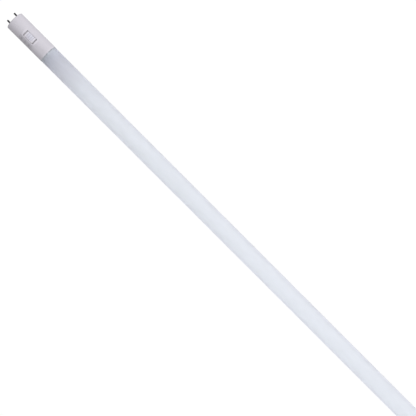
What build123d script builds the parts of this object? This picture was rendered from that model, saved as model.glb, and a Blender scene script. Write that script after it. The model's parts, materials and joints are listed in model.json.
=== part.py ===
from build123d import *
import math
import os

# An LED tube lamp: a round opal tube between two bi-pin end caps. One cap holds the driver and
# carries a small slide selector. The tube's axis is X and the origin is at its middle. The cap with
# the selector is at the low end of X. Light leaves towards +Z, the way that the selector faces, and
# the contact pins lie in the XY plane. All sizes are in millimetres.

# Lamp
base_length = 1198.2  # from one base face to the other, without the pins
tube_diameter = 25.4
tube_wall = 1.2

# End caps
cap_length = 62.0  # what shows of each cap
cap_step = 0.3  # how far a cap stands proud of the tube
cap_wall = 1.5
cap_end_wall = 2.4
cap_edge_radius = 1.0
cap_web = 2.0  # ring inside the cap's mouth that carries the spigot
spigot_length = 12.0  # what goes into the tube
spigot_wall = 1.2
spigot_lead_in = 0.4
glue_gap = 0.25  # radial room for the adhesive between spigot and tube
bond_gap = 0.03  # between the adhesive and the faces that it joins

# Contact pins
pin_spacing = 12.7
pin_diameter = 2.4
pin_length = 7.0  # outside the base face
pin_tip_radius = 0.6
pin_shank_diameter = 1.9
pin_head_diameter = 3.2
pin_head_thickness = 0.6
pin_tail_diameter = 1.5
pin_tail_length = 3.0
pin_hole_clearance = 0.02

# LED board, held in the tube under two moulded rails
led_board_width = 14.0
led_board_thickness = 1.0
led_board_overhang = 4.0  # how far it reaches into each cap
led_board_clearance = 0.15  # to the tube's wall and to the rails
rail_hold = 1.0  # how far a rail reaches over the board
rail_thickness = 0.9
rail_room = 0.5  # between the rails and the spigot that straddles them
led_length = 3.5
led_width = 2.8
led_height = 0.7
led_rim = 0.4
led_recess = 0.2
led_pitch = 10.4
led_margin = 8.0  # from the spigot's end to the first LED

# Selector: a knob in a window of the cap, on a plate that slides under the cap's wall
selector_place = 31.9  # from the base face to the window's middle
selector_travel = 1.4  # each way from the middle position
selector_end_clearance = 0.2
selector_side_clearance = 0.15
window_edge = 0.35
knob_length = 14.4
knob_width = 8.3
knob_rise = 0.5  # how far its middle stands proud of the cap
knob_crown = 0.4  # how much lower its ends are than its middle
knob_corner = 0.9
knob_edge = 0.35
grip_count = 4
grip_pitch = 3.0
grip_radius = 0.6
grip_depth = 0.5
plate_clearance = 0.4
plate_thickness = 1.0
plate_overlap = 1.2  # under the cap's wall, past the window, at the end of the travel
fork_height = 2.2
fork_wall = 1.0
fork_clearance = 0.1

# Slide switch on the driver board
switch_length = 11.0
switch_width = 5.4
switch_base_height = 3.2
switch_cover_thickness = 0.4
switch_gap = 0.4  # between the switch's cover and the fork
carriage_length = 4.0
carriage_width = 3.0
carriage_height = 1.4
carriage_clearance = 0.15
stem_length = 2.0
stem_width = 1.8
stem_clearance = 0.3  # under the selector's plate

# Driver board
driver_board_thickness = 1.2
driver_board_start_gap = 3.5  # from the pins' tails to the board
driver_board_clearance = 0.3  # to the spigot's bore, so that the board can be pushed in
driver_rail_hold = 1.0
driver_rail_thickness = 1.0
driver_rail_clearance = 0.1
part_spacing = 1.0  # between neighbours on the board
lane_room = 0.5  # between a part and the rails
standoff = 0.3  # between a part's body and the board
part_lead_diameter = 0.6

# Parts on the driver board
fuse_diameter = 3.2
fuse_length = 7.0
fuse_neck = 0.3
varistor_diameter = 6.0
varistor_thickness = 3.2
varistor_edge = 0.9
film_capacitor_size = (4.5, 9.0, 7.0)
film_capacitor_edge = 0.8
choke_diameter = 7.0
choke_height = 8.0
choke_flange = 1.1
choke_waist = 3.0
choke_winding_inset = 0.4
bulk_capacitor_diameter = 6.3
bulk_capacitor_length = 11.0
output_capacitor_diameter = 5.0
output_capacitor_length = 11.0
can_groove = 0.35
core_size = (4.6, 11.5, 9.0)
core_yoke = 1.6
core_centre_leg = 3.2
bobbin_length = 9.0
bobbin_flange = 0.7
bobbin_wall = 0.5
winding_fit = 0.05
winding_inset = 0.3
rectifier_size = (4.7, 3.9, 2.4)
chip_size = (4.9, 3.9, 1.5)
diode_size = (4.3, 2.6, 2.1)
leg_size = (0.4, 0.9, 0.2)
leg_pitch = 1.27
diode_tab_width = 1.4
rectifier_offset = -13.0  # along the board, from the selector
chip_offset = 12.0
diode_offset = 18.0
chip_resistor_size = (2.0, 1.25, 0.55)
chip_resistor_count = 5
chip_resistor_pitch = 3.2

# Leads between the pins, the driver and the LED board
lead_diameter = 1.1
lead_inset = 3.0  # from the driver board's end to a pin's lead
led_lead_spacing = 3.0
led_lead_inset = 1.5
pad_reach = 5.0  # from the tube's end to the pads on the LED board
far_lead_spread = 7.0
bend_share = 0.45  # of the shorter run beside a bend

# Radii and lengths that follow
tube_radius = tube_diameter / 2
bore_radius = tube_radius - tube_wall
tube_length = base_length - 2 * cap_length
cap_radius = tube_radius + cap_step
cap_bore = cap_radius - cap_wall
spigot_radius = bore_radius - glue_gap
spigot_bore = spigot_radius - spigot_wall
cap_total = cap_length + spigot_length
pin_radius = pin_diameter / 2
tail_end = cap_end_wall + pin_head_thickness + pin_tail_length

# LED board's height in the tube: its lower edges lie along the tube's wall
led_board_bottom = -math.sqrt(bore_radius**2 - (led_board_width / 2 + led_board_clearance) ** 2)
led_board_top = led_board_bottom + led_board_thickness
rail_bottom = led_board_top + led_board_clearance
rail_top = rail_bottom + rail_thickness
notch_top = rail_top + rail_room

# Selector, from the cap's wall down to the driver board
window_length = knob_length + 2 * (selector_travel + selector_end_clearance)
window_width = knob_width + 2 * selector_side_clearance
plate_radius = cap_bore - plate_clearance
plate_bottom = plate_radius - plate_thickness
plate_length = window_length + 2 * (selector_travel + plate_overlap)
plate_width = window_width + 2 * plate_overlap
knob_radius = cap_radius + knob_rise
crown_radius = ((knob_length / 2) ** 2 + knob_crown**2) / (2 * knob_crown)
fork_bottom = plate_bottom - fork_height
switch_top = fork_bottom - switch_gap
switch_base_top = switch_top - switch_cover_thickness
driver_top = switch_base_top - switch_base_height
driver_bottom = driver_top - driver_board_thickness
driver_half_width = math.sqrt((spigot_bore - driver_board_clearance) ** 2 - driver_top**2)
driver_start = tail_end + driver_board_start_gap

# Where each part hangs along the driver board, measured from the base face
pin_lead_place = driver_start + lead_inset
fuse_place = pin_lead_place + lead_diameter / 2 + part_spacing
film_place = fuse_place + max(fuse_length, varistor_thickness) + 2 * part_spacing
choke_place = film_place + film_capacitor_size[0] + part_spacing
can_place = choke_place + choke_diameter + 2 * part_spacing
can_length = max(bulk_capacitor_length, output_capacitor_length)
transformer_place = can_place + can_length + part_spacing
transformer_end = transformer_place + max(bobbin_length, core_size[0])
led_lead_place = transformer_end + part_spacing + lead_diameter / 2
driver_end = led_lead_place + led_lead_inset
pad_place = max(cap_length, driver_end) + pad_reach
lane_edge = driver_half_width - driver_rail_hold - lane_room


def along(place):
    """X of a point that lies this far in from the selector cap's base face."""
    return place - base_length / 2


def turned(outline, centre_y=0.0, centre_z=0.0):
    """A body of revolution about a line along X, from (distance from the base face, radius) points."""
    points = [(along(place), radius) for place, radius in outline]
    face = make_face(Polyline(*points, close=True))
    return Pos(0, centre_y, centre_z) * revolve(face, axis=Axis.X)


def block(place, size, centre_y, bottom):
    """A box that starts at a place along the lamp, centred on y, standing on a height."""
    corner = (Align.MIN, Align.CENTER, Align.MIN)
    return Pos(along(place), centre_y, bottom) * Box(*size, align=corner)


def bar(start, end, radius):
    """A round bar about the lamp's axis, between two places."""
    return Pos(along((start + end) / 2), 0, 0) * Rot(0, 90, 0) * Cylinder(radius, end - start)


def at_far_end(shape):
    """The same piece turned round to the other end of the lamp."""
    return Rot(0, 0, 180) * shape


def wire(points, diameter):
    """A round lead along straight runs, with each bend as large as its runs allow."""
    spots = [Vector(along(place), y, z) for place, y, z in points]
    radii = []
    for before, corner, after in zip(spots, spots[1:], spots[2:]):
        run = min((corner - before).length, (after - corner).length)
        turn = math.radians((corner - before).get_angle(after - corner))
        radii.append(bend_share * run / math.tan(turn / 2))
    path = FilletPolyline(*spots, radius=radii)
    section = Plane(origin=path @ 0, z_dir=path % 0) * Circle(diameter / 2)
    return sweep(section, path=path)


def straight_lead(place, y, bottom):
    """A part's own lead, up to the driver board's underside."""
    height = driver_bottom - bottom
    lead = Cylinder(part_lead_diameter / 2, height, align=(Align.CENTER, Align.CENTER, Align.MIN))
    return Pos(along(place), y, bottom) * lead


# Tube and LED board


def diffuser_tube():
    """Extruded opal tube with two rails inside that hold the LED board down."""
    middle_radius = bore_radius + tube_wall / 2
    rail_root = led_board_width / 2 - rail_hold
    rail_width = middle_radius - rail_root
    rail_middle = (rail_bottom + rail_top) / 2
    section = Circle(tube_radius) - Circle(bore_radius)
    for side in (-1, 1):
        rail = Pos(side * (rail_root + rail_width / 2), rail_middle) * Rectangle(rail_width, rail_thickness)
        section += rail & Circle(middle_radius)
    return extrude(Plane.YZ * section, amount=tube_length / 2, both=True)


def led_board():
    """Long narrow board under the rails."""
    length = tube_length + 2 * led_board_overhang
    board = Box(length, led_board_width, led_board_thickness)
    return Pos(0, 0, (led_board_bottom + led_board_top) / 2) * board


def led():
    """One surface-mounted LED: a white case with a shallow window for the phosphor."""
    on_board = (Align.CENTER, Align.CENTER, Align.MIN)
    case = Box(led_length, led_width, led_height, align=on_board)
    window = Box(led_length - 2 * led_rim, led_width - 2 * led_rim, led_recess, align=on_board)
    return case - Pos(0, 0, led_height - led_recess) * window


def led_group(first):
    """Every second LED along the board, so that two white tones alternate."""
    lit_length = tube_length - 2 * (spigot_length + led_margin) - led_length
    gaps = int(lit_length / led_pitch)
    start = -gaps * led_pitch / 2
    spots = [Pos(start + i * led_pitch, 0, led_board_top) for i in range(first, gaps + 1, 2)]
    return Compound(children=[spot * led() for spot in spots])


# End caps


def cap_shell():
    """Turned form shared by both caps: a deep cup with a rounded rim and a spigot at its mouth."""
    shell = turned(
        [
            (0, 0),
            (0, cap_radius),
            (cap_length, cap_radius),
            (cap_length, spigot_radius),
            (cap_total - spigot_lead_in, spigot_radius),
            (cap_total, spigot_radius - spigot_lead_in),
            (cap_total, spigot_bore),
            (cap_length - cap_web, spigot_bore),
            (cap_length - cap_web, cap_bore),
            (cap_end_wall, cap_bore),
            (cap_end_wall, 0),
        ]
    )
    rim = shell.edges().filter_by(GeomType.CIRCLE).group_by(Axis.X)[0].sort_by(SortBy.RADIUS)[-1]
    return fillet(rim, cap_edge_radius)


def spigot_notch():
    """Room under the spigot for the tube's rails and the LED board's end."""
    start = cap_length - cap_web
    depth = cap_bore + notch_top
    cut = block(start, (cap_total - start, 2 * cap_bore, depth), 0, -cap_bore)
    return cut & bar(start, cap_total, cap_bore)


def pin_holes():
    """Holes for the pins' shanks through the cap's end."""
    radius = pin_shank_diameter / 2 + pin_hole_clearance
    hole = bar(0, cap_end_wall, radius)
    return [Pos(0, side * pin_spacing / 2, 0) * hole for side in (-1, 1)]


def plain_cap():
    """A cap without the selector, at the low end of X."""
    return cap_shell() - spigot_notch() - pin_holes()


def driver_rails():
    """Two pairs of ribs along the cap's walls, which hold the driver board by its edges."""
    length = cap_length - cap_web - cap_end_wall
    root = driver_half_width - driver_rail_hold
    width = cap_radius - cap_wall / 2 - root
    lower = driver_bottom - driver_rail_clearance - driver_rail_thickness
    upper = driver_top + driver_rail_clearance
    size = (length, width, driver_rail_thickness)
    within = bar(cap_end_wall, cap_length - cap_web, cap_radius - cap_wall / 2)
    ribs = []
    for side in (-1, 1):
        for bottom in (lower, upper):
            ribs.append(block(cap_end_wall, size, side * (root + width / 2), bottom) & within)
    return ribs


def selector_window():
    """Opening in the cap's wall for the selector's knob."""
    corner = knob_corner + selector_side_clearance
    opening = Plane.XY.offset(cap_bore / 2) * RectangleRounded(window_length, window_width, corner)
    return Pos(along(selector_place), 0, 0) * extrude(opening, amount=cap_radius)


def selector_cap():
    """The cap that holds the driver, with its rails and the selector's window, rounded along its rim."""
    cap = plain_cap() + driver_rails() - selector_window()
    place = along(selector_place)
    near = cap.edges().filter_by_position(Axis.X, place - window_length / 2, place + window_length / 2)
    rim = near.filter_by(lambda edge: math.isclose(math.hypot((edge @ 0.5).Y, (edge @ 0.5).Z), cap_radius))
    return fillet(rim, window_edge)


def cap_adhesive():
    """Film of adhesive round a spigot, open below where the rails pass."""
    start = cap_length + bond_gap
    end = cap_total - spigot_lead_in
    ring = bar(start, end, bore_radius - bond_gap) - bar(start, end, spigot_radius + bond_gap)
    depth = bore_radius + notch_top + bond_gap
    return ring - block(start, (end - start, 2 * bore_radius, depth), 0, -bore_radius)


def contact_pin(side):
    """Turned pin, seated on the base face and headed over inside the cap."""
    head_end = cap_end_wall + pin_head_thickness
    outline = [
        (-pin_length, 0),
        (-pin_length, pin_radius),
        (0, pin_radius),
        (0, pin_shank_diameter / 2),
        (cap_end_wall, pin_shank_diameter / 2),
        (cap_end_wall, pin_head_diameter / 2),
        (head_end, pin_head_diameter / 2),
        (head_end, pin_tail_diameter / 2),
        (tail_end, pin_tail_diameter / 2),
        (tail_end, 0),
    ]
    pin = turned(outline)
    tip = pin.edges().filter_by(GeomType.CIRCLE).group_by(Axis.X)[0]
    return Pos(0, side * pin_spacing / 2, 0) * fillet(tip, pin_tip_radius)


# Selector and its switch


def knob_round():
    """The round that the knob's top follows: the cap's, drawn in a little towards the knob's ends."""
    arc = Pos(0, knob_radius - crown_radius) * Circle(crown_radius)
    above_axis = Rectangle(2 * knob_length, 2 * knob_radius, align=(Align.CENTER, Align.MIN))
    return revolve(arc & above_axis, axis=Axis.X)


def grip_groove(offset):
    """One groove round the knob's top, this far along from the knob's middle."""
    top = knob_radius - crown_radius + math.sqrt(crown_radius**2 - offset**2)
    ring = Torus(top + grip_radius - grip_depth, grip_radius)
    return Pos(offset, 0, 0) * Rot(0, 90, 0) * ring


def selector_slider():
    """Knob with grip grooves, on a plate with a fork for the switch's stem."""
    middle = along(selector_place)
    ring = Circle(plate_radius) - Circle(plate_bottom)
    strip = Pos(0, plate_radius) * Rectangle(plate_width, 2 * plate_radius)
    plate = extrude(Plane.YZ * (ring & strip), amount=plate_length / 2, both=True)
    seat = plate_bottom + plate_thickness / 2
    face = RectangleRounded(knob_length, knob_width, knob_corner)
    knob = extrude(Plane.XY.offset(seat) * face, amount=knob_radius - seat)
    knob &= knob_round()
    knob = fillet(knob.faces().sort_by(Axis.Z)[-1].edges(), knob_edge)
    first = -grip_pitch * (grip_count - 1) / 2
    for i in range(grip_count):
        knob -= grip_groove(first + i * grip_pitch)
    hollow = (stem_length + 2 * fork_clearance, stem_width + 2 * fork_clearance)
    on_top = (Align.CENTER, Align.CENTER, Align.MAX)
    fork = Pos(0, 0, seat) * Box(
        hollow[0] + 2 * fork_wall, hollow[1] + 2 * fork_wall, seat - fork_bottom, align=on_top
    )
    slot = Pos(0, 0, plate_bottom) * Box(*hollow, fork_height, align=on_top)
    return Pos(middle, 0, 0) * (plate + knob + fork - slot)


def switch_base():
    """Insulating base of the slide switch, with the pocket that its carriage runs in."""
    base = Box(switch_length, switch_width, switch_base_height, align=(Align.CENTER, Align.CENTER, Align.MIN))
    pocket = Box(
        carriage_length + 2 * (selector_travel + selector_end_clearance),
        carriage_width + 2 * carriage_clearance,
        carriage_height + 2 * carriage_clearance,
        align=(Align.CENTER, Align.CENTER, Align.MAX),
    )
    return Pos(along(selector_place), 0, driver_top) * (base - Pos(0, 0, switch_base_height) * pocket)


def switch_cover():
    """Sheet cover of the slide switch, slotted for the stem."""
    cover = Box(switch_length, switch_width, switch_cover_thickness)
    slot = Box(
        stem_length + 2 * (selector_travel + selector_end_clearance),
        stem_width + 2 * carriage_clearance,
        2 * switch_cover_thickness,
    )
    return Pos(along(selector_place), 0, (switch_base_top + switch_top) / 2) * (cover - slot)


def switch_carriage():
    """Moving carriage of the switch, with the stem that the selector's fork drives."""
    carriage_top = switch_base_top - carriage_clearance
    on_top = (Align.CENTER, Align.CENTER, Align.MAX)
    stem_top = plate_bottom - stem_clearance
    carriage = Pos(0, 0, carriage_top) * Box(carriage_length, carriage_width, carriage_height, align=on_top)
    stem = Pos(0, 0, stem_top) * Box(
        stem_length, stem_width, stem_top - carriage_top + carriage_height / 2, align=on_top
    )
    return Pos(along(selector_place), 0, 0) * (carriage + stem)


# Driver board and its parts


def driver_board():
    """Board that slides along the cap's ribs."""
    size = (driver_end - driver_start, 2 * driver_half_width, driver_board_thickness)
    return block(driver_start, size, 0, driver_bottom)


def bent_leads(ends, y, height, reach):
    """Leads that leave a lying part's ends at its middle height and bend up to the board."""
    return [
        wire([(place, y, height), (place + side * reach, y, height), (place + side * reach, y, driver_bottom)],
             part_lead_diameter)
        for place, side in ends
    ]


def fuse_resistor():
    """Axial fusible resistor, lying along one edge of the board."""
    radius = fuse_diameter / 2
    y = lane_edge - radius
    height = driver_bottom - standoff - radius
    start = fuse_place + part_spacing
    end = start + fuse_length - 2 * part_spacing
    cheek = fuse_length / 5
    body = turned(
        [
            (start, 0),
            (start, radius),
            (start + cheek, radius),
            (start + cheek, radius - fuse_neck),
            (end - cheek, radius - fuse_neck),
            (end - cheek, radius),
            (end, radius),
            (end, 0),
        ],
        y,
        height,
    )
    return body + bent_leads([(start, -1), (end, 1)], y, height, part_spacing)


def varistor():
    """Coated disc, standing across the board."""
    radius = varistor_diameter / 2
    y = -(lane_edge - radius)
    height = driver_bottom - 2 * standoff - radius
    end = fuse_place + varistor_thickness
    disc = turned([(fuse_place, 0), (fuse_place, radius), (end, radius), (end, 0)], y, height)
    disc = fillet(disc.edges().filter_by(GeomType.CIRCLE), varistor_edge)
    middle = (fuse_place + end) / 2
    return disc + [straight_lead(middle, y + side * radius / 2, height) for side in (-1, 1)]


def film_capacitor():
    """Dipped film capacitor, a rounded box across the board."""
    length, width, height = film_capacitor_size
    bottom = driver_bottom - standoff - height
    body = block(film_place, film_capacitor_size, 0, bottom)
    body = fillet(body.edges(), film_capacitor_edge)
    middle = film_place + length / 2
    return body + [straight_lead(middle, side * width / 4, bottom + height / 2) for side in (-1, 1)]


def choke_turned(outline):
    """A body of revolution about the choke's upright axis, from (radius, depth under the board) points."""
    middle = along(choke_place + choke_diameter / 2)
    face = make_face(Polyline(*[(radius, driver_bottom - depth) for radius, depth in outline], close=True))
    return Pos(middle, 0, 0) * revolve(Plane.XZ * face, axis=Axis.Z)


def choke_core():
    """Ferrite drum of the input choke, with its two leads."""
    radius = choke_diameter / 2
    top = standoff
    bottom = standoff + choke_height
    drum = choke_turned(
        [
            (0, top),
            (radius, top),
            (radius, top + choke_flange),
            (choke_waist / 2, top + choke_flange),
            (choke_waist / 2, bottom - choke_flange),
            (radius, bottom - choke_flange),
            (radius, bottom),
            (0, bottom),
        ]
    )
    middle = choke_place + radius
    bottom_of_lead = driver_bottom - top - choke_flange / 2
    return drum + [straight_lead(middle, side * radius / 2, bottom_of_lead) for side in (-1, 1)]


def choke_winding():
    """Copper winding on the drum's waist."""
    outer = choke_diameter / 2 - choke_winding_inset
    inner = choke_waist / 2 + winding_fit
    top = standoff + choke_flange + winding_fit
    bottom = standoff + choke_height - choke_flange - winding_fit
    return choke_turned([(inner, top), (outer, top), (outer, bottom), (inner, bottom)])


def electrolytic(diameter, length, side):
    """Electrolytic capacitor lying along the board, with the roll groove near its leads."""
    radius = diameter / 2
    y = side * (lane_edge - radius)
    height = driver_bottom - standoff - radius
    start = can_place
    end = start + length
    groove = start + radius / 2
    can = turned(
        [
            (start, 0),
            (start, radius),
            (groove, radius),
            (groove + can_groove, radius - can_groove),
            (groove + 2 * can_groove, radius),
            (end, radius),
            (end, 0),
        ],
        y,
        height,
    )
    leads = []
    for offset in (-1, 1):
        leads += bent_leads([(start, -1)], y + offset * radius / 2, height, part_spacing)
    return can + leads


def transformer_core():
    """Ferrite core: two yokes, two outer legs and the middle leg through the bobbin."""
    length, width, height = core_size
    window_height = height - 2 * core_yoke
    window_width = (width - core_centre_leg) / 2 - core_yoke
    window = Box(2 * length, window_width, window_height)
    core = Box(*core_size)
    for side in (-1, 1):
        core -= Pos(0, side * (core_centre_leg + window_width) / 2, 0) * window
    return transformer_seat() * core


def transformer_seat():
    """Place of the transformer's middle."""
    middle = transformer_place + bobbin_length / 2
    return Pos(along(middle), 0, driver_bottom - standoff - core_size[2] / 2)


def bobbin_sizes():
    """Room in the core's windows: full width between the outer legs, and height."""
    width, height = core_size[1:]
    return width - 2 * core_yoke - 2 * winding_fit, height - 2 * core_yoke - 2 * winding_fit


def transformer_bobbin():
    """Moulded bobbin on the core's middle leg, with four pins up to the board."""
    width, height = bobbin_sizes()
    leg = (core_size[0] + 2 * winding_fit, core_centre_leg + 2 * winding_fit)
    hub = Box(leg[0] + 2 * bobbin_wall, leg[1] + 2 * bobbin_wall, height)
    flange = Box(bobbin_length, width, bobbin_flange)
    flange_height = (height - bobbin_flange) / 2
    bobbin = hub + Pos(0, 0, flange_height) * flange + Pos(0, 0, -flange_height) * flange
    bobbin -= Box(*leg, 2 * height)
    seat = transformer_seat()
    pins = []
    for end in (-1, 1):
        place = transformer_place + bobbin_length / 2 + end * (bobbin_length / 2 - part_lead_diameter)
        for side in (-1, 1):
            pins.append(straight_lead(place, side * width / 3, seat.position.Z + flange_height))
    return seat * bobbin + pins


def transformer_winding():
    """Taped winding between the bobbin's flanges."""
    width, height = bobbin_sizes()
    outer = (bobbin_length - 2 * winding_inset, width - 2 * winding_inset)
    hub_wall = bobbin_wall + 2 * winding_fit
    inner = (core_size[0] + 2 * hub_wall, core_centre_leg + 2 * hub_wall)
    depth = height - 2 * bobbin_flange - 2 * winding_fit
    section = RectangleRounded(*outer, 2 * winding_inset) - Rectangle(*inner)
    return transformer_seat() * Pos(0, 0, -depth / 2) * extrude(section, amount=depth)


def on_driver(offset, size):
    """A box that lies on the driver board's upper face, this far along from the selector."""
    return block(selector_place + offset - size[0] / 2, size, 0, driver_top)


def legged(offset, size, columns):
    """A moulded package on the board's upper face, with a row of legs along each long side."""
    package = on_driver(offset, size)
    first = offset - leg_pitch * (columns - 1) / 2
    leg = (leg_size[0], size[1] + 2 * leg_size[1], leg_size[2])
    return package + [on_driver(first + i * leg_pitch, leg) for i in range(columns)]


def rectifier():
    """Bridge rectifier with two legs on each side."""
    return legged(rectifier_offset, rectifier_size, 2)


def control_chip():
    """Driver's control chip with four legs on each side."""
    return legged(chip_offset, chip_size, 4)


def output_diode():
    """Output diode with a tab at each end."""
    tab = (diode_size[0] + 2 * leg_size[1], diode_tab_width, leg_size[2])
    return on_driver(diode_offset, diode_size) + on_driver(diode_offset, tab)


def chip_resistors():
    """Row of small chip resistors beside the control chip."""
    y = lane_edge - chip_resistor_size[1]
    spots = [i * chip_resistor_pitch for i in range(chip_resistor_count)]
    return Compound(children=[Pos(0, y, 0) * on_driver(chip_offset + s, chip_resistor_size) for s in spots])


# Leads


def pin_lead(side):
    """Lead from a pin's tail up to the driver board."""
    y = side * pin_spacing / 2
    return wire([(tail_end, y, 0), (pin_lead_place, y, 0), (pin_lead_place, y, driver_bottom)], lead_diameter)


def led_lead(lane):
    """Lead from the driver board down to its pad on the LED board."""
    y = lane * led_lead_spacing
    middle = (driver_bottom + led_board_top) / 2
    return wire(
        [
            (led_lead_place, y, driver_bottom),
            (led_lead_place, y, middle),
            (pad_place, y, middle),
            (pad_place, y, led_board_top),
        ],
        lead_diameter,
    )


def far_lead(side):
    """Lead from a pin of the plain cap to its pad at the LED board's far end."""
    y = side * pin_spacing / 2
    pad_y = side * far_lead_spread / 2
    drop = led_board_top / 3
    run = pad_place - tail_end
    return wire(
        [
            (tail_end, y, 0),
            (tail_end + run / 2, y, 0),
            (pad_place - pad_reach, pad_y, drop),
            (pad_place, pad_y, drop),
            (pad_place, pad_y, led_board_top),
        ],
        lead_diameter,
    )


nodes = {
    "diffuser_tube": diffuser_tube(),
    "led_board": led_board(),
    "warm_leds": led_group(0),
    "cool_leds": led_group(1),
    "selector_cap": selector_cap(),
    "plain_cap": at_far_end(plain_cap()),
    "selector_cap_adhesive": cap_adhesive(),
    "plain_cap_adhesive": at_far_end(cap_adhesive()),
    "selector_cap_pin_left": contact_pin(1),
    "selector_cap_pin_right": contact_pin(-1),
    "plain_cap_pin_left": at_far_end(contact_pin(1)),
    "plain_cap_pin_right": at_far_end(contact_pin(-1)),
    "selector_slider": selector_slider(),
    "switch_base": switch_base(),
    "switch_cover": switch_cover(),
    "switch_carriage": switch_carriage(),
    "driver_board": driver_board(),
    "fuse_resistor": fuse_resistor(),
    "varistor": varistor(),
    "film_capacitor": film_capacitor(),
    "choke_core": choke_core(),
    "choke_winding": choke_winding(),
    "bulk_capacitor": electrolytic(bulk_capacitor_diameter, bulk_capacitor_length, 1),
    "output_capacitor": electrolytic(output_capacitor_diameter, output_capacitor_length, -1),
    "transformer_core": transformer_core(),
    "transformer_bobbin": transformer_bobbin(),
    "transformer_winding": transformer_winding(),
    "rectifier": rectifier(),
    "control_chip": control_chip(),
    "output_diode": output_diode(),
    "chip_resistors": chip_resistors(),
    "pin_lead_left": pin_lead(1),
    "pin_lead_right": pin_lead(-1),
    "led_lead_common": led_lead(0),
    "led_lead_warm": led_lead(1),
    "led_lead_cool": led_lead(-1),
    "far_lead_left": at_far_end(far_lead(1)),
    "far_lead_right": at_far_end(far_lead(-1)),
}

os.makedirs("parts", exist_ok=True)
for name, shape in nodes.items():
    export_step(shape, f"parts/{name}.step")
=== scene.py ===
import json
import math

import bmesh
import bpy
from mathutils import Matrix, Vector


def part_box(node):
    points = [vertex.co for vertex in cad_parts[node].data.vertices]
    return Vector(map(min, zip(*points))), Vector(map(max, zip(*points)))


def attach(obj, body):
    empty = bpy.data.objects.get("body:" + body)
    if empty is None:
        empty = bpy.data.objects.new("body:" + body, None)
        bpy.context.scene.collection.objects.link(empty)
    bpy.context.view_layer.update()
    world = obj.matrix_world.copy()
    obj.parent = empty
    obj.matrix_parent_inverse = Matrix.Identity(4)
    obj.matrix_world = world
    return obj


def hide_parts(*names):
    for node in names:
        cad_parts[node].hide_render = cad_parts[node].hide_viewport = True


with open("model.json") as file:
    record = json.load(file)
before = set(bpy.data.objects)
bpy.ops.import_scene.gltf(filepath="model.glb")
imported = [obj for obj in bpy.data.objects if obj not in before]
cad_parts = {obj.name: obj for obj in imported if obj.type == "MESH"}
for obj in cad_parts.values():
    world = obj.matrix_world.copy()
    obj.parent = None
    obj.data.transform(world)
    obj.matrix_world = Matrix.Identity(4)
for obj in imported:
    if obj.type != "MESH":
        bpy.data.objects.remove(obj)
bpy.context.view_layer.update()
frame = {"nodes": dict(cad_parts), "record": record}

# Looks for the LED tube lamp: the surfaces of its pieces, a smooth tube in the place of the CAD tube, and
# a white studio. The lamp lies along X with the selector's cap at the low end, and light leaves it towards
# +Z. Sizes are in metres. Angles round the lamp start at its top and grow towards +Y. A tone multiplies the
# colour that is there, so a tone of 1 leaves it as it is.
MM = 0.001
white = (1.0, 1.0, 1.0)
rising = (0.0, 1.0)
falling = (1.0, 0.0)
scene = bpy.context.scene


def degrees(*angles):
    """Angles in radians, from angles in degrees."""
    return tuple(math.radians(angle) for angle in angles)


# Places that the frame gives
nodes = frame["nodes"]
selector_low, selector_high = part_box("selector_slider")
selector_middle = (selector_low.x + selector_high.x) / 2
selector_top = selector_high.z
tube_low, tube_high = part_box("diffuser_tube")

# Camera: it looks down on the selector's end of the lamp, a little from the +Y side, and is turned so that
# the lamp runs across the picture from its top left corner
camera_place = Vector((-0.28659, 0.15716, 1.44151))
camera_forward = Vector((0.02742, -0.10453, -0.99414))
camera_right = Vector((0.70676, 0.70533, -0.05467))
camera_lens = 95.39  # in millimetres, as the sensor's width is
camera_sensor = 36.0

# Light, where 1 lights a surface that faces it to its own colour
world_light = 0.63
key_light = 0.60
key_from = Vector((0.45, 0.69, 0.57)).normalized()
key_softness = math.radians(50)
floor_drop = 0.40  # under the tube's axis
floor_half = 8.0
floor_tone = 0.33
white_level = 1.02  # of the floor, to the camera

# Tube: the part's wall and rails, and how finely the mesh is divided
tube_wall = 1.2 * MM
rail_hold = 1.0 * MM  # how far a rail reaches over the LED board
rail_thickness = 0.9 * MM
rail_clearance = 0.15 * MM
tube_segments = 144  # round the tube
tube_spans = 40  # along it
sharp_angle = math.radians(30)

# Noise, whose scales are in features to the metre
noise_range = (0.3, 0.7)  # where nearly all of its values lie
cloud_detail = 3.0
fine_detail = 2.0

# Moulded and coated surfaces. The look of one is its colour, its roughness, the spread of its shades, and
# the scale of their clouds.
coated_grain = 3500.0
coated_rough_spread = 0.06
coated_depth = 0.008 * MM

# Bare metals. The look of one is its colour and its roughness.
metal_stain = 500.0
metal_stain_shade = 0.88
metal_marks = 5000.0
metal_rough_spread = 0.08
metal_depth = 0.004 * MM

# Tube's surface
tube_through = 0.90  # share of the light that passes the wall
tube_specular = 0.08
tube_tint = (0.946, 0.960, 0.979)
drawn_lines = (1.0, 700.0, 700.0)  # to the metre, on each axis
drawn_shade = 0.997  # of the lines, against the tint
frost_grain = 2600.0
frost_rough = (0.46, 0.56)
frost_depth = 0.012 * MM

# Tube's tones, all painted light and shade, with places along it measured from the nearer cap
fade_reach = 340 * MM  # of the ramp that holds the stops
# Painted shade that darkens the tube near each cap, where less light comes through it, with a painted light
# line right at the cap's mouth
cap_shade_stops = (
    (0.0 * MM, (1.020, 1.020, 1.020)),
    (1.2 * MM, (0.972, 0.973, 0.984)),
    (2.4 * MM, (0.930, 0.931, 0.947)),
    (5.1 * MM, (0.919, 0.918, 0.938)),
    (20.4 * MM, (0.927, 0.921, 0.935)),
    (33.0 * MM, (0.923, 0.916, 0.927)),
    (61.2 * MM, (0.967, 0.966, 0.970)),
    (102.0 * MM, (0.991, 0.991, 0.992)),
    (190.4 * MM, (1.000, 1.000, 1.000)),
)
side_shade_tone = (0.936, 0.926, 0.933)  # painted shade of the sides and the underside, against the lightest line
side_tilt = math.radians(8)  # of the painted lightest line from the top towards -Y
side_reach = 90 * MM  # over which the painted side shade comes in
spigot_light_tone = (1.035, 1.030, 1.030)  # painted light on the sides and the underside, over the cap's spigot
spigot_reach = (6 * MM, 13 * MM)
spigot_blur = 6 * MM
shaded_tone = (0.971, 0.971, 0.968)  # of the side towards -Y
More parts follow.
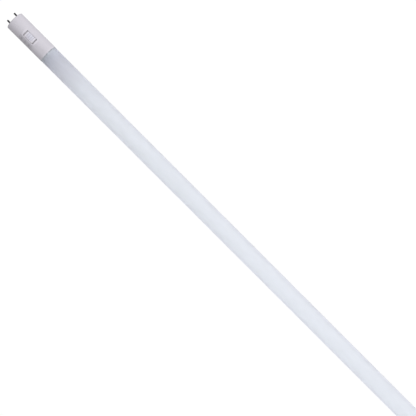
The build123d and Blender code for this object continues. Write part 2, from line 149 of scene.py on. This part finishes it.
shaded_places = (4 * MM, -4 * MM)  # in Y, where that side starts and where it is full
shaded_starts = (10 * MM, 22 * MM)
shaded_fades = (230 * MM, 400 * MM)
shaded_rest = 0.4  # share that is left after it fades
neck_shade_tone = (0.986, 0.986, 0.986)  # painted shade of that side, close to the cap
neck_reach = (20 * MM, 36 * MM)
neck_blur = 12 * MM

# Caps: painted light makes their side towards -Y lighter, most of all near the mouth, and the mouth's edge
# too
cap_look = ((0.60, 0.58, 0.63), 0.55, 0.012, 90.0)
cap_specular = 0.04
# Painted light on the side towards -Y
low_side_light_tone = (1.03, 1.03, 1.03)
low_side_angles = degrees(-60, -20)
low_side_blur = math.radians(15)
low_side_radii = (11.0 * MM, 12.6 * MM)  # between which it comes in, so that the base face stays plain
mouth_side_light_tone = (1.05, 1.05, 1.05)  # painted light of that side, near the mouth
mouth_side_length = 15.0 * MM
mouth_side_blur = 4.0 * MM
# Painted light on the mouth's edge
mouth_rim_light_tone = (1.12, 1.12, 1.12)
mouth_rim_width = 0.8 * MM
mouth_rim_blur = 0.6 * MM

# Selector: painted highlights lighten its knob at the rim and the cap beside it, and painted shade darkens
# its gaps
selector_look = ((0.64, 0.635, 0.715), 0.5, 0.012, 90.0)
selector_specular = 0.05
selector_blur = 0.8 * MM
window_half_length = 8.8 * MM
knob_half_length = 7.2 * MM
knob_half_width = 4.15 * MM
# Painted highlight at the knob's ends and along its -Y edge
knob_rim_light_tone = (1.10, 1.08, 1.05)
rim_width = 1.2 * MM
rim_inset = 0.8 * MM  # from the knob's ends
# Painted shade in the window's gaps, below the knob's top
gap_shade_tone = (0.88, 0.86, 0.80)
gap_radius = 12.4 * MM  # up to which the painted shade darkens it
cap_rim_light_tone = (1.14, 1.14, 1.14)  # painted highlight on the cap, beyond both ends of the window
highlight_place = 10.0 * MM  # from the selector's middle
highlight_reach_along = 2.0 * MM
highlight_reach_round = 7.0 * MM
highlight_edge = (0.4, 1.0)  # shares of that reach, between which it fades
margin_light_tone = (1.10, 1.10, 1.11)  # painted light on the cap, between the window and the printed field
margin_angles = degrees(-26, -19.5)

# Grey field printed on the cap beside the selector, with a darker bar for each of its positions
print_place = -1.0 * MM  # of its middle, from the selector's
field_tone = (0.88, 0.88, 0.88)
field_half_length = 11.0 * MM
field_angles = degrees(-61, -25)
field_blur = 0.3 * MM
bar_tone = (0.83, 0.83, 0.83)
bar_pitch = 6.5 * MM
bar_half_width = 1.05 * MM
bar_angles = degrees(-57, -35)
bar_blur = 0.2 * MM

# Pins
pin_dark = (0.03, 0.03, 0.033)
pin_light = (0.06, 0.06, 0.063)
pin_stain = 600.0
pin_turning = (9000.0, 300.0, 300.0)  # marks to the metre, on each axis
pin_rough = (0.34, 0.50)
pin_depth = 0.006 * MM

# LEDs
led_case_look = ((0.88, 0.88, 0.86), 0.4, 0.02, 700.0)
led_recess = 0.2 * MM
warm_tone = (0.84, 0.55, 0.13)
cool_tone = (0.86, 0.74, 0.21)
up_slopes = (0.5, 0.9)  # Z of the normal, between which a face comes to count as facing up

# Pieces inside the lamp
coated_looks = {
    "led_board_white": ((0.86, 0.87, 0.86), 0.35, 0.02, 90.0),
    "adhesive": ((0.52, 0.52, 0.52), 0.3, 0.04, 90.0),
    "driver_board_green": ((0.03, 0.17, 0.07), 0.35, 0.12, 500.0),
    "black_moulding": ((0.025, 0.025, 0.027), 0.5, 0.10, 400.0),
    "ferrite": ((0.06, 0.058, 0.056), 0.6, 0.15, 900.0),
    "winding_tape": ((0.78, 0.60, 0.08), 0.3, 0.06, 300.0),
    "film_coating": ((0.40, 0.09, 0.05), 0.28, 0.08, 300.0),
    "varistor_coating": ((0.05, 0.14, 0.42), 0.35, 0.08, 300.0),
    "can_sleeve": ((0.03, 0.03, 0.05), 0.25, 0.08, 300.0),
    "fuse_coating": ((0.20, 0.36, 0.30), 0.4, 0.08, 300.0),
    "chip_ceramic": ((0.05, 0.05, 0.06), 0.4, 0.10, 900.0),
    "lead_red": ((0.55, 0.03, 0.03), 0.38, 0.06, 300.0),
    "lead_black": ((0.02, 0.02, 0.022), 0.38, 0.10, 300.0),
    "lead_white": ((0.80, 0.80, 0.78), 0.38, 0.03, 300.0),
}
metal_looks = {
    "copper": ((0.72, 0.33, 0.16), 0.35),
    "switch_sheet": ((0.66, 0.66, 0.64), 0.3),
}


# Surfaces


class Surface:
    """A material with a Principled shader, whose nodes are added one call at a time."""

    def __init__(self, name, **constants):
        self.material = bpy.data.materials.new(name)
        self.material.use_nodes = True
        self.tree = self.material.node_tree
        self.tree.nodes.clear()
        self.output = self.tree.nodes.new("ShaderNodeOutputMaterial")
        self.shader = self.tree.nodes.new("ShaderNodeBsdfPrincipled")
        self.link(self.shader.outputs["BSDF"], self.output.inputs["Surface"])
        for socket, value in constants.items():
            self.shader.inputs[socket.replace("_", " ")].default_value = value
        coordinates = self.tree.nodes.new("ShaderNodeTexCoord").outputs
        self.place = coordinates["Object"]
        self.normal = coordinates["Normal"]
        self.base = None

    def link(self, source, target):
        """Joins one node's output to another's input."""
        self.tree.links.new(source, target)

    def axes(self, vector=None):
        """X, Y and Z of the place on the object, or of another vector."""
        node = self.tree.nodes.new("ShaderNodeSeparateXYZ")
        self.link(vector or self.place, node.inputs["Vector"])
        return node.outputs

    def stretched(self, scales):
        """The place on the object, scaled along each axis."""
        node = self.tree.nodes.new("ShaderNodeMapping")
        node.inputs["Scale"].default_value = scales
        self.link(self.place, node.inputs["Vector"])
        return node.outputs["Vector"]

    def noise(self, scale, detail, place=None):
        """Noise from 0 to 1, with this many features to the metre."""
        node = self.tree.nodes.new("ShaderNodeTexNoise")
        node.inputs["Scale"].default_value = scale
        node.inputs["Detail"].default_value = detail
        self.link(place or self.place, node.inputs["Vector"])
        return node.outputs["Fac"]

    def math(self, operation, *values):
        """One arithmetic step on sockets and numbers."""
        node = self.tree.nodes.new("ShaderNodeMath")
        node.operation = operation
        for socket, value in zip(node.inputs, values):
            if isinstance(value, (int, float)):
                socket.default_value = value
            else:
                self.link(value, socket)
        return node.outputs["Value"]

    def length(self, a, b):
        """Length of the vector with these two parts."""
        squares = [self.math("MULTIPLY", part, part) for part in (a, b)]
        return self.math("SQRT", self.math("ADD", *squares))

    def remap(self, value, source, target):
        """A value moved from one range to another, and held at its ends."""
        node = self.tree.nodes.new("ShaderNodeMapRange")
        for socket, number in zip(("From Min", "From Max", "To Min", "To Max"), (*source, *target)):
            node.inputs[socket].default_value = number
        self.link(value, node.inputs["Value"])
        return node.outputs["Result"]

    def band(self, value, low, high, blur):
        """1 where a value lies between two limits, fading to 0 over a width outside them."""
        middle = (low + high) / 2
        half = (high - low) / 2
        distance = self.math("ABSOLUTE", self.math("SUBTRACT", value, middle))
        return self.remap(distance, (half, half + blur), falling)

    def facing_up(self):
        """1 on faces that look up, 0 on those that look sideways or down."""
        return self.remap(self.axes(self.normal)["Z"], up_slopes, rising)

    def ramp(self, factor, *stops):
        """Colours along a factor, as (position, colour) stops."""
        node = self.tree.nodes.new("ShaderNodeValToRGB")
        elements = node.color_ramp.elements
        while len(elements) < len(stops):
            elements.new(stops[-1][0])
        for element, (position, colour) in zip(elements, stops):
            element.position = position
            element.color = (*colour, 1.0)
        self.link(factor, node.inputs["Fac"])
        return node.outputs["Color"]

    def mottled(self, noise, dark, light):
        """Two colours, mixed by a noise."""
        return self.ramp(noise, *zip(noise_range, (dark, light)))

    def multiply(self, colour_a, colour_b):
        """Two colours multiplied."""
        node = self.tree.nodes.new("ShaderNodeMix")
        node.data_type = "RGBA"
        node.blend_type = "MULTIPLY"
        node.inputs["Factor"].default_value = 1.0
        self.link(colour_a, node.inputs["A"])
        self.link(colour_b, node.inputs["B"])
        return node.outputs["Result"]

    def colour(self, socket):
        """Sets the surface's colour."""
        self.base = socket
        self.link(socket, self.shader.inputs["Base Color"])

    def tint(self, tone, *masks):
        """Multiplies the surface's colour by a tone where all these masks are 1."""
        mask, *others = masks
        for other in others:
            mask = self.math("MULTIPLY", mask, other)
        self.colour(self.multiply(self.base, self.ramp(mask, (0.0, white), (1.0, tone))))

    def roughness(self, noise, limits):
        """Roughness between two limits, by a noise."""
        self.link(self.remap(noise, noise_range, limits), self.shader.inputs["Roughness"])

    def bump(self, height, depth):
        """Relief of this depth."""
        node = self.tree.nodes.new("ShaderNodeBump")
        node.inputs["Strength"].default_value = 1.0
        node.inputs["Distance"].default_value = depth
        self.link(height, node.inputs["Height"])
        self.link(node.outputs["Normal"], self.shader.inputs["Normal"])
        return node.outputs["Normal"]


def shade(colour, factor):
    """A lighter or darker shade of a colour."""
    return tuple(min(1.0, c * factor) for c in colour)


def around(middle, spread):
    """Limits on both sides of a value."""
    return middle - spread, middle + spread


def coated(name, colour, rough, spread, clouds, **constants):
    """Moulded or coated surface: slow cloudy shades, fine grain."""
    s = Surface(name, **constants)
    slow = s.noise(clouds, cloud_detail)
    fine = s.noise(coated_grain, fine_detail)
    dark, light = around(1.0, spread)
    s.colour(s.mottled(slow, shade(colour, dark), shade(colour, light)))
    s.roughness(fine, around(rough, coated_rough_spread))
    s.bump(fine, coated_depth)
    return s


def metal(name, colour, rough):
    """Bare metal with a slight stain and fine marks."""
    s = Surface(name, Metallic=1.0)
    stain = s.noise(metal_stain, cloud_detail)
    marks = s.noise(metal_marks, fine_detail)
    s.colour(s.mottled(stain, shade(colour, metal_stain_shade), colour))
    s.roughness(marks, around(rough, metal_rough_spread))
    s.bump(marks, metal_depth)
    return s


def pin_metal():
    """Dull dark plating with fine turning marks round each pin."""
    s = Surface("pin_metal", Metallic=1.0)
    turning = s.noise(1.0, fine_detail, s.stretched(pin_turning))
    stain = s.noise(pin_stain, cloud_detail)
    s.colour(s.mottled(stain, pin_dark, pin_light))
    s.roughness(turning, pin_rough)
    s.bump(turning, pin_depth)
    return s


def led_case(name, node, phosphor):
    """White case, with phosphor on the floor of its recess."""
    s = coated(name, *led_case_look)
    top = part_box(node)[1].z
    sunk = s.remap(s.axes()["Z"], (top - led_recess, top - led_recess / 2), falling)
    s.tint(phosphor, sunk, s.facing_up())
    return s


def cap_plastic():
    """Pale grey moulding, with painted light on its -Y side, at its mouth and round the selector's window,
    and a printed field and bars that mark the selector's positions.
    """
    s = coated("cap_plastic", *cap_look, Specular_IOR_Level=cap_specular)
    x, y, z = s.axes()
    along = s.math("SUBTRACT", x, selector_middle)
    angle = s.math("ARCTAN2", y, z)

    # Painted light on the side towards -Y, stronger near the mouth, and on the mouth's edge
    low_side = s.band(angle, *low_side_angles, low_side_blur)
    on_wall = s.remap(s.length(y, z), low_side_radii, rising)
    from_mouth = s.math("SUBTRACT", s.math("ABSOLUTE", x), tube_high.x)
    s.tint(low_side_light_tone, low_side, on_wall)
    s.tint(mouth_side_light_tone, low_side, on_wall, s.band(from_mouth, 0.0, mouth_side_length, mouth_side_blur))
    s.tint(mouth_rim_light_tone, s.band(from_mouth, 0.0, mouth_rim_width, mouth_rim_blur))

    # Painted highlight on the cap, beyond both ends of the window
    from_highlight = s.math("SUBTRACT", s.math("ABSOLUTE", along), highlight_place)
    out_along = s.math("DIVIDE", from_highlight, highlight_reach_along)
    out_round = s.math("MULTIPLY", angle, selector_top / highlight_reach_round)
    s.tint(cap_rim_light_tone, s.remap(s.length(out_along, out_round), highlight_edge, falling))

    def patch(tone, middle, half_length, angles, blur):
        """Tints a patch of the cap, placed along it from the selector's middle."""
        in_length = s.band(along, *around(middle, half_length), blur)
        s.tint(tone, in_length, s.band(angle, *angles, blur / selector_top))

    # Painted light between the window and the printed field
    patch(margin_light_tone, 0.0, window_half_length, margin_angles, selector_blur)
    patch(field_tone, print_place, field_half_length, field_angles, field_blur)
    for step in (-1, 0, 1):
        patch(bar_tone, print_place + step * bar_pitch, bar_half_width, bar_angles, bar_blur)
    return s


def selector_plastic():
    """Paler, bluer moulding, with a painted highlight at the knob's rim and painted shade down in the
    window.
    """
    s = coated("selector_plastic", *selector_look, Specular_IOR_Level=selector_specular)
    x, y, z = s.axes()
    from_middle = s.math("ABSOLUTE", s.math("SUBTRACT", x, selector_middle))
    from_end = s.math("SUBTRACT", knob_half_length, from_middle)
    # Painted highlight at the knob's ends and along its -Y edge
    s.tint(knob_rim_light_tone, s.band(from_end, rim_inset, rim_inset + rim_width, selector_blur))
    s.tint(knob_rim_light_tone, s.band(y, -knob_half_width, rim_width - knob_half_width, selector_blur))
    # Painted shade down in the window
    s.tint(gap_shade_tone, s.remap(s.length(y, z), (gap_radius, gap_radius + selector_blur), falling))
    return s


def opal_plastic():
    """Frosted extrusion: drawn lines along its length and a fine matt grain, painted shade and light in its
    colour, and light coming through.
    """
    s = Surface("opal_plastic", Specular_IOR_Level=tube_specular)
    drawn = s.noise(1.0, fine_detail, s.stretched(drawn_lines))
    frost = s.noise(frost_grain, fine_detail)
    s.roughness(frost, frost_rough)
    normal = s.bump(frost, frost_depth)

    x, y, z = s.axes()
    from_cap = s.math("SUBTRACT", tube_high.x, s.math("ABSOLUTE", x))
    # Painted shade near each cap, with a painted light line at the mouth
    stops = [(place / fade_reach, tone) for place, tone in cap_shade_stops]
    shade_near_caps = s.ramp(s.remap(from_cap, (0.0, fade_reach), rising), *stops)
    s.colour(s.multiply(s.mottled(drawn, shade(tube_tint, drawn_shade), tube_tint), shade_near_caps))

    # Painted shade on the sides and the underside, away from a lightest line near the top
    upwards = s.math("MULTIPLY", z, math.cos(side_tilt))
    sideways = s.math("MULTIPLY", y, math.sin(side_tilt))
    side = s.remap(s.math("SUBTRACT", upwards, sideways), (0.0, tube_high.z), falling)
    s.tint(side_shade_tone, side, s.remap(from_cap, (0.0, side_reach), rising))
    # Painted light over the cap's spigot
    s.tint(spigot_light_tone, side, s.band(from_cap, *spigot_reach, spigot_blur))

    # Painted shade of the side towards -Y, close to the cap and along the tube
    shaded = s.remap(y, shaded_places, rising)
    started = s.remap(from_cap, shaded_starts, rising)
    faded = s.remap(from_cap, shaded_fades, (1.0, shaded_rest))
    s.tint(neck_shade_tone, shaded, s.band(from_cap, *neck_reach, neck_blur))
    s.tint(shaded_tone, shaded, started, faded)

    through = s.tree.nodes.new("ShaderNodeBsdfTranslucent")
    s.link(s.base, through.inputs["Color"])
    s.link(normal, through.inputs["Normal"])
    both = s.tree.nodes.new("ShaderNodeMixShader")
    both.inputs["Fac"].default_value = tube_through
    s.link(s.shader.outputs["BSDF"], both.inputs[1])
    s.link(through.outputs["BSDF"], both.inputs[2])
    s.link(both.outputs["Shader"], s.output.inputs["Surface"])
    return s


surfaces = {
    "opal_plastic": opal_plastic(),
    "cap_plastic": cap_plastic(),
    "selector_plastic": selector_plastic(),
    "pin_metal": pin_metal(),
    "warm_phosphor": led_case("warm_phosphor", "warm_leds", warm_tone),
    "cool_phosphor": led_case("cool_phosphor", "cool_leds", cool_tone),
}
surfaces.update({slot: coated(slot, *look) for slot, look in coated_looks.items()})
surfaces.update({slot: metal(slot, *look) for slot, look in metal_looks.items()})


def dress_frame():
    """Gives each node of the frame the surface of its material slot."""
    for entry in frame["record"]["subparts"]:
        materials = nodes[entry["node"]].data.materials
        materials.clear()
        materials.append(surfaces[entry["material_slot"]].material)


# Tube


def arc(radius, start, end):
    """Points along an arc in the YZ plane, with both its ends."""
    count = int(tube_segments * (end - start) / (2 * math.pi))
    turns = [start + (end - start) * i / count for i in range(count + 1)]
    return [(radius * math.cos(turn), radius * math.sin(turn)) for turn in turns]


def tube_outline(radius):
    """Points of the tube's outer circle, in the YZ plane."""
    return arc(radius, 0.0, 2 * math.pi)[:-1]


def bore_outline(radius):
    """Points of the bore, with the two rails over the LED board's edges."""
    board_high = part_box("led_board")[1]
    low = board_high.z + rail_clearance
    high = low + rail_thickness
    root = board_high.y - rail_hold
    low_turn = math.asin(low / radius)
    high_turn = math.asin(high / radius)
    over_rails = arc(radius, high_turn, math.pi - high_turn)
    under_rails = arc(radius, math.pi - low_turn, 2 * math.pi + low_turn)
    return over_rails + [(-root, high), (-root, low)] + under_rails + [(root, low), (root, high)]


def turned(ring):
    """The same ring, started one point later."""
    return ring[1:] + ring[:1]


def sleeve(mesh_maker, outline):
    """Makes the faces of an outline drawn along the tube, and returns the edges of their two ends."""
    rings = []
    for span in range(tube_spans + 1):
        x = tube_low.x + (tube_high.x - tube_low.x) * span / tube_spans
        rings.append([mesh_maker.verts.new((x, y, z)) for y, z in outline])
    for ring, following in zip(rings, rings[1:]):
        for corners in zip(ring, turned(ring), turned(following), following):
            mesh_maker.faces.new(corners)
    ends = (rings[0], rings[-1])
    return [[mesh_maker.edges.get(pair) for pair in zip(ring, turned(ring))] for ring in ends]


def frosted_tube():
    """Smooth tube in the place of the tube's node, with the same bore and rails."""
    radius = max(math.hypot(v.co.y, v.co.z) for v in nodes["diffuser_tube"].data.vertices)
    mesh_maker = bmesh.new()
    outer_ends = sleeve(mesh_maker, tube_outline(radius))
    bore_ends = sleeve(mesh_maker, bore_outline(radius - tube_wall))
    for outer_edges, bore_edges in zip(outer_ends, bore_ends):
        bmesh.ops.triangle_fill(mesh_maker, edges=outer_edges + bore_edges, use_beauty=True)
    bmesh.ops.recalc_face_normals(mesh_maker, faces=mesh_maker.faces)
    for face in mesh_maker.faces:
        face.smooth = True
    mesh = bpy.data.meshes.new("frosted_tube")
    mesh_maker.to_mesh(mesh)
    mesh_maker.free()
    mesh.set_sharp_from_angle(angle=sharp_angle)
    mesh.materials.append(surfaces["opal_plastic"].material)
    tube = bpy.data.objects.new("frosted_tube", mesh)
    scene.collection.objects.link(tube)
    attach(tube, "lamp")
    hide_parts("diffuser_tube")


# Studio


def seen_directly(tree):
    """1 for rays that come straight from the camera, off a glossy surface or through a clear one."""
    path = tree.nodes.new("ShaderNodeLightPath")
    total = path.outputs["Is Camera Ray"]
    for name in ("Is Glossy Ray", "Is Transmission Ray"):
        larger = tree.nodes.new("ShaderNodeMath")
        larger.operation = "MAXIMUM"
        tree.links.new(total, larger.inputs[0])
        tree.links.new(path.outputs[name], larger.inputs[1])
        total = larger.outputs["Value"]
    return total


def floor_material():
    """Matt pale floor that glows up to white where it is seen directly."""
    material = bpy.data.materials.new("studio_floor")
    material.use_nodes = True
    tree = material.node_tree
    tree.nodes.clear()
    matt = tree.nodes.new("ShaderNodeBsdfDiffuse")
    matt.inputs["Color"].default_value = (floor_tone, floor_tone, floor_tone, 1.0)
    lit = floor_tone * (world_light + key_light * key_from.z)
    level = tree.nodes.new("ShaderNodeMath")
    level.operation = "MULTIPLY"
    tree.links.new(seen_directly(tree), level.inputs[0])
    level.inputs[1].default_value = white_level - lit
    glow = tree.nodes.new("ShaderNodeEmission")
    glow.inputs["Color"].default_value = (*white, 1.0)
    tree.links.new(level.outputs["Value"], glow.inputs["Strength"])
    both = tree.nodes.new("ShaderNodeAddShader")
    tree.links.new(matt.outputs["BSDF"], both.inputs[0])
    tree.links.new(glow.outputs["Emission"], both.inputs[1])
    output = tree.nodes.new("ShaderNodeOutputMaterial")
    tree.links.new(both.outputs["Shader"], output.inputs["Surface"])
    return material


def studio_floor():
    """Wide floor under the lamp: white to the camera, with the lamp's shadow kept on it."""
    mesh = bpy.data.meshes.new("studio_floor")
    corners = ((-1, -1), (1, -1), (1, 1), (-1, 1))
    points = [(floor_half * x, floor_half * y, -floor_drop) for x, y in corners]
    mesh.from_pydata(points, [], [(0, 1, 2, 3)])
    mesh.materials.append(floor_material())
    floor = bpy.data.objects.new("studio_floor", mesh)
    scene.collection.objects.link(floor)


def studio_world():
    """Even soft light from all round, on a white backdrop."""
    world = bpy.data.worlds.new("studio")
    scene.world = world
    world.use_nodes = True
    tree = world.node_tree
    tree.nodes.clear()
    strength = tree.nodes.new("ShaderNodeMapRange")
    strength.inputs["To Min"].default_value = world_light
    strength.inputs["To Max"].default_value = 1.0
    tree.links.new(seen_directly(tree), strength.inputs["Value"])
    backdrop = tree.nodes.new("ShaderNodeBackground")
    backdrop.inputs["Color"].default_value = (*white, 1.0)
    tree.links.new(strength.outputs["Result"], backdrop.inputs["Strength"])
    output = tree.nodes.new("ShaderNodeOutputWorld")
    tree.links.new(backdrop.outputs["Background"], output.inputs["Surface"])


def key_lamp():
    """A wide soft lamp far away, which lights the whole length alike."""
    lamp = bpy.data.lights.new("key_lamp", "SUN")
    lamp.energy = key_light * math.pi
    lamp.angle = key_softness
    holder = bpy.data.objects.new("key_lamp", lamp)
    holder.rotation_mode = "QUATERNION"
    holder.rotation_quaternion = key_from.to_track_quat("Z", "Y")
    scene.collection.objects.link(holder)


def studio_camera():
    """Camera at the photograph's viewing angle."""
    back = -camera_forward.normalized()
    right = (camera_right - camera_right.dot(back) * back).normalized()
    up = back.cross(right)
    data = bpy.data.cameras.new("camera")
    data.sensor_width = camera_sensor
    data.lens = camera_lens
    camera = bpy.data.objects.new("camera", data)
    turn = Matrix((right, up, back)).transposed().to_4x4()
    camera.matrix_world = Matrix.Translation(camera_place) @ turn
    scene.collection.objects.link(camera)
    scene.camera = camera


dress_frame()
frosted_tube()
studio_floor()
studio_world()
key_lamp()
studio_camera()
scene.view_settings.view_transform = "Standard"
